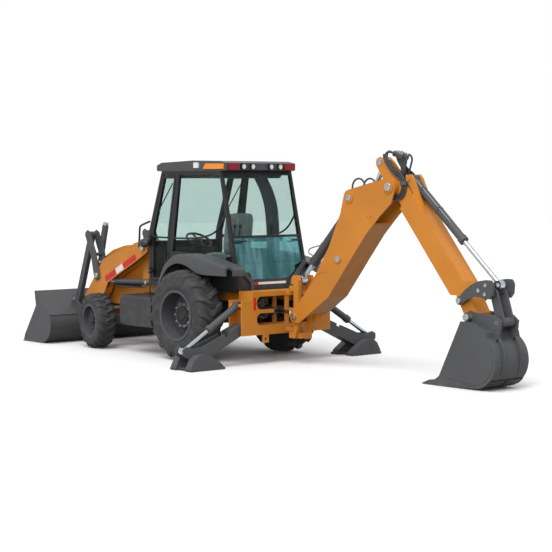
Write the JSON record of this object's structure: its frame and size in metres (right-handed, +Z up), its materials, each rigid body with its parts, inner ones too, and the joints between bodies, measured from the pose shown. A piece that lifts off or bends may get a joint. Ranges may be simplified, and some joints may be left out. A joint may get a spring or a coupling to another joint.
{
  "type": "backhoe loader",
  "caption": "Backhoe loader with enclosed cab: lifting loader bucket in front, swinging boom, sliding dipper and digging bucket at the rear, side stabilizers down.",
  "frame": {"origin": "on the ground under the middle of the footprint", "axes": "+X forward, +Y to the left, +Z up"},
  "size_m": [8.8595, 3.49, 2.7615],
  "materials": {
    "orange_paint": "satin industrial enamel",
    "grey_paint": "satin charcoal enamel",
    "cab_black": "satin black enamel",
    "black_plastic": "textured",
    "glass": "tinted",
    "chrome": "hard chrome",
    "tyre": "worn rubber",
    "seat_vinyl": "grained",
    "lens": "moulded lens"
  },
  "bodies": {
    "chassis": {"main_frame": "orange_paint", "engine": "grey_paint", "side_tanks": "black_plastic", "cab_floor": "black_plastic", "cab_frame": "cab_black", "cab_glass": "glass", "roof": "black_plastic", "fenders": "black_plastic", "seat": "seat_vinyl", "controls": "black_plastic", "lamps": "lens", "axles": "grey_paint", "swing_barrels": "grey_paint"},
    "hood": {"hood": "orange_paint", "grille": "grey_paint"},
    "door_left": {"door_left": "cab_black", "door_glass_left": "glass"},
    "door_right": {"door_right": "cab_black", "door_glass_right": "glass"},
    "knuckle_left": {"knuckle_left": "grey_paint"},
    "knuckle_right": {"knuckle_right": "grey_paint"},
    "wheel_rl": {"tyre_rl": "tyre", "rim_rl": "grey_paint"},
    "wheel_rr": {"tyre_rr": "tyre", "rim_rr": "grey_paint"},
    "wheel_fl": {"tyre_fl": "tyre", "rim_fl": "grey_paint"},
    "wheel_fr": {"tyre_fr": "tyre", "rim_fr": "grey_paint"},
    "loader_arms": {"loader_arms": "orange_paint"},
    "loader_bucket": {"loader_bucket": "grey_paint"},
    "lift_barrels": {"lift_barrels": "grey_paint"},
    "lift_rods": {"lift_rods": "chrome"},
    "tilt_levers": {"tilt_levers": "grey_paint"},
    "tilt_links": {"tilt_links": "grey_paint"},
    "tilt_barrels": {"tilt_barrels": "grey_paint"},
    "tilt_rods": {"tilt_rods": "chrome"},
    "stab_leg_left": {"stab_leg_left": "grey_paint"},
    "stab_leg_right": {"stab_leg_right": "grey_paint"},
    "stab_pad_left": {"stab_pad_left": "grey_paint"},
    "stab_pad_right": {"stab_pad_right": "grey_paint"},
    "stab_barrel_left": {"stab_barrel_left": "grey_paint"},
    "stab_barrel_right": {"stab_barrel_right": "grey_paint"},
    "stab_rod_left": {"stab_rod_left": "chrome"},
    "stab_rod_right": {"stab_rod_right": "chrome"},
    "swing_post": {"swing_post": "orange_paint"},
    "swing_rod_left": {"swing_rod_left": "chrome"},
    "swing_rod_right": {"swing_rod_right": "chrome"},
    "boom": {"boom": "orange_paint"},
    "boom_barrel": {"boom_barrel": "grey_paint"},
    "boom_rod": {"boom_rod": "chrome"},
    "crowd_barrel": {"crowd_barrel": "grey_paint"},
    "crowd_rod": {"crowd_rod": "chrome"},
    "dipper": {"dipper": "orange_paint"},
    "extension": {"extension": "orange_paint"},
    "bucket_barrel": {"bucket_barrel": "grey_paint"},
    "bucket_rod": {"bucket_rod": "chrome"},
    "guide_links": {"guide_links": "grey_paint"},
    "bucket_link": {"bucket_link": "grey_paint"},
    "hoe_bucket": {"hoe_bucket": "grey_paint"}
  },
  "joints": [
    {"name": "roll_rl", "type": "hinge", "parent": "chassis", "child": "wheel_rl", "pos_m": [0.618, 0.89, 0.624], "axis": [0, 1, 0], "continuous": true},
    {"name": "roll_rr", "type": "hinge", "parent": "chassis", "child": "wheel_rr", "pos_m": [0.618, -0.89, 0.624], "axis": [0, 1, 0], "continuous": true},
    {"name": "steer", "type": "hinge", "parent": "chassis", "child": "knuckle_left", "pos_m": [2.768, 0.7, 0.406], "axis": [0, 0, 1], "range_deg": [-35, 55]},
    {"name": "steer_right", "type": "hinge", "parent": "chassis", "child": "knuckle_right", "pos_m": [2.768, -0.7, 0.406], "axis": [0, 0, 1], "range_deg": [-35, 55]},
    {"name": "roll_fl", "type": "hinge", "parent": "knuckle_left", "child": "wheel_fl", "pos_m": [2.7963, 0.86052, 0.406], "axis": [0.1736, 0.9848, 0], "continuous": true},
    {"name": "roll_fr", "type": "hinge", "parent": "knuckle_right", "child": "wheel_fr", "pos_m": [2.7397, -0.86052, 0.406], "axis": [0.1736, 0.9848, 0], "continuous": true},
    {"name": "door_left_open", "type": "hinge", "parent": "chassis", "child": "door_left", "pos_m": [1.759, 0.665, 1.7], "axis": [0, 0, -1], "range_deg": [0, 75]},
    {"name": "door_right_open", "type": "hinge", "parent": "chassis", "child": "door_right", "pos_m": [1.759, -0.665, 1.7], "axis": [0, 0, 1], "range_deg": [0, 75]},
    {"name": "hood_open", "type": "hinge", "parent": "chassis", "child": "hood", "pos_m": [2.108, 0, 1.49], "axis": [0, -1, 0], "range_deg": [0, 50]},
    {"name": "lift", "type": "hinge", "parent": "chassis", "child": "loader_arms", "pos_m": [1.998, 0, 1.5], "axis": [0, -1, 0], "range_deg": [0, 95]},
    {"name": "lift_barrel_turn", "type": "hinge", "parent": "chassis", "child": "lift_barrels", "pos_m": [1.924, 0, 0.997], "axis": [0, -1, 0], "range_deg": [0, 73.35]},
    {"name": "lift_rod_slide", "type": "slide", "parent": "lift_barrels", "child": "lift_rods", "axis": [0.9997, 0, -0.026], "range_m": [-0.0001, 0.6259]},
    {"name": "tilt", "type": "hinge", "parent": "loader_arms", "child": "loader_bucket", "pos_m": [3.568, 0, 0.37], "axis": [0, 1, 0], "range_deg": [-40, 95]},
    {"name": "lever_turn", "type": "hinge", "parent": "loader_arms", "child": "tilt_levers", "pos_m": [3.159, 0, 1.048], "axis": [0, 1, 0], "range_deg": [-24.52, 58.24]},
    {"name": "link_turn", "type": "hinge", "parent": "loader_bucket", "child": "tilt_links", "pos_m": [3.76, 0, 0.659], "axis": [0, 1, 0], "range_deg": [-84.3, 35.5]},
    {"name": "tilt_barrel_turn", "type": "hinge", "parent": "loader_arms", "child": "tilt_barrels", "pos_m": [2.318, 0, 1.37], "axis": [0, 1, 0], "range_deg": [-1.63, 3.88]},
    {"name": "tilt_rod_slide", "type": "slide", "parent": "tilt_barrels", "child": "tilt_rods", "axis": [0.9879, 0, -0.1554], "range_m": [-0.0642, 0.1523]},
    {"name": "swing", "type": "hinge", "parent": "chassis", "child": "swing_post", "pos_m": [-0.667, 0, 0.7], "axis": [0, 0, 1], "range_deg": [-90, 90]},
    {"name": "swing_rod_left_slide", "type": "slide", "parent": "chassis", "child": "swing_rod_left", "axis": [-1, 0, 0], "range_m": [-0.26, 0.26]},
    {"name": "swing_rod_right_slide", "type": "slide", "parent": "chassis", "child": "swing_rod_right", "axis": [-1, 0, 0], "range_m": [-0.26, 0.26]},
    {"name": "boom_lift", "type": "hinge", "parent": "swing_post", "child": "boom", "pos_m": [-0.797, 0, 0.655], "axis": [0, 1, 0], "range_deg": [-100, 48]},
    {"name": "boom_barrel_turn", "type": "hinge", "parent": "boom", "child": "boom_barrel", "pos_m": [-1.851, 0, 2.243], "axis": [0, -1, 0], "range_deg": [-1.96, 4.08]},
    {"name": "boom_rod_slide", "type": "slide", "parent": "boom_barrel", "child": "boom_rod", "axis": [0.6996, 0, -0.7145], "range_m": [-0.2565, 0.5342]},
    {"name": "crowd", "type": "hinge", "parent": "boom", "child": "dipper", "pos_m": [-2.556, 0, 2.384], "axis": [0, -1, 0], "range_deg": [-70, 50]},
    {"name": "crowd_barrel_turn", "type": "hinge", "parent": "boom", "child": "crowd_barrel", "pos_m": [-1.64, 0, 1.451], "axis": [0, -1, 0], "range_deg": [-4.28, 3.06]},
    {"name": "crowd_rod_slide", "type": "slide", "parent": "crowd_barrel", "child": "crowd_rod", "axis": [-0.4815, 0, 0.8764], "range_m": [-0.3864, 0.276]},
    {"name": "reach", "type": "slide", "parent": "dipper", "child": "extension", "axis": [0.6368, 0, 0.7711], "range_m": [-1.07, 0]},
    {"name": "curl", "type": "hinge", "parent": "extension", "child": "hoe_bucket", "pos_m": [-3.904, 0, 0.844], "axis": [0, -1, 0], "range_deg": [-75, 70]},
    {"name": "guide_turn", "type": "hinge", "parent": "extension", "child": "guide_links", "pos_m": [-3.771, 0, 1.034], "axis": [0, -1, 0], "range_deg": [-64.87, 60.55]},
    {"name": "bucket_link_turn", "type": "hinge", "parent": "hoe_bucket", "child": "bucket_link", "pos_m": [-4.323, 0, 0.802], "axis": [0, -1, 0], "range_deg": [-41.63, 44.6]},
    {"name": "bucket_barrel_turn", "type": "hinge", "parent": "extension", "child": "bucket_barrel", "pos_m": [-2.822, 0, 2.48], "axis": [0, -1, 0], "range_deg": [-6.12, 5.71]},
    {"name": "bucket_rod_slide", "type": "slide", "parent": "bucket_barrel", "child": "bucket_rod", "axis": [-0.7499, 0, -0.6615], "range_m": [-0.4674, 0.4363]},
    {"name": "stab_left_lower", "type": "hinge", "parent": "chassis", "child": "stab_leg_left", "pos_m": [-0.322, 0.69, 0.485], "axis": [-1, 0, 0], "range_deg": [-85, 12]},
    {"name": "pad_left_tip", "type": "hinge", "parent": "stab_leg_left", "child": "stab_pad_left", "pos_m": [-0.322, 1.53, 0.118], "axis": [-1, 0, 0], "range_deg": [-20, 20]},
    {"name": "stab_left_barrel_turn", "type": "hinge", "parent": "chassis", "child": "stab_barrel_left", "pos_m": [-0.322, 0.77, 0.8], "axis": [-1, 0, 0], "range_deg": [-101.44, 14.32]},
    {"name": "stab_left_rod_slide", "type": "slide", "parent": "stab_barrel_left", "child": "stab_rod_left", "axis": [0, 0.8558, -0.5173], "range_m": [-0.3935, 0.0556]},
    {"name": "stab_right_lower", "type": "hinge", "parent": "chassis", "child": "stab_leg_right", "pos_m": [-0.322, -0.69, 0.485], "axis": [1, 0, 0], "range_deg": [-85, 12]},
    {"name": "pad_right_tip", "type": "hinge", "parent": "stab_leg_right", "child": "stab_pad_right", "pos_m": [-0.322, -1.53, 0.118], "axis": [1, 0, 0], "range_deg": [-20, 20]},
    {"name": "stab_right_barrel_turn", "type": "hinge", "parent": "chassis", "child": "stab_barrel_right", "pos_m": [-0.322, -0.77, 0.8], "axis": [1, 0, 0], "range_deg": [-101.44, 14.32]},
    {"name": "stab_right_rod_slide", "type": "slide", "parent": "stab_barrel_right", "child": "stab_rod_right", "axis": [0, -0.8558, -0.5173], "range_m": [-0.3935, 0.0556]}
  ],
  "couplings": [
    {"joint": "steer_right", "follows": "steer", "ratio": 1},
    {"joint": "lift_barrel_turn", "follows": "lift", "ratio": 0.757},
    {"joint": "lift_rod_slide", "follows": "lift", "m_per_rad": 0.37},
    {"joint": "lever_turn", "follows": "tilt", "ratio": 0.601},
    {"joint": "link_turn", "follows": "tilt", "ratio": -0.87},
    {"joint": "tilt_barrel_turn", "follows": "tilt", "ratio": 0.04},
    {"joint": "tilt_rod_slide", "follows": "tilt", "m_per_rad": 0.09},
    {"joint": "swing_rod_left_slide", "follows": "swing", "m_per_rad": 0.16},
    {"joint": "swing_rod_right_slide", "follows": "swing", "m_per_rad": -0.16},
    {"joint": "boom_barrel_turn", "follows": "boom_lift", "ratio": -0.04},
    {"joint": "boom_rod_slide", "follows": "boom_lift", "m_per_rad": -0.3},
    {"joint": "crowd_barrel_turn", "follows": "crowd", "ratio": 0.06},
    {"joint": "crowd_rod_slide", "follows": "crowd", "m_per_rad": 0.31},
    {"joint": "guide_turn", "follows": "curl", "ratio": 0.848},
    {"joint": "bucket_link_turn", "follows": "curl", "ratio": -0.583},
    {"joint": "bucket_barrel_turn", "follows": "curl", "ratio": 0.08},
    {"joint": "bucket_rod_slide", "follows": "curl", "m_per_rad": 0.35},
    {"joint": "stab_left_barrel_turn", "follows": "stab_left_lower", "ratio": 1.17},
    {"joint": "stab_left_rod_slide", "follows": "stab_left_lower", "m_per_rad": 0.26},
    {"joint": "stab_right_barrel_turn", "follows": "stab_right_lower", "ratio": 1.17},
    {"joint": "stab_right_rod_slide", "follows": "stab_right_lower", "m_per_rad": 0.26}
  ]
}
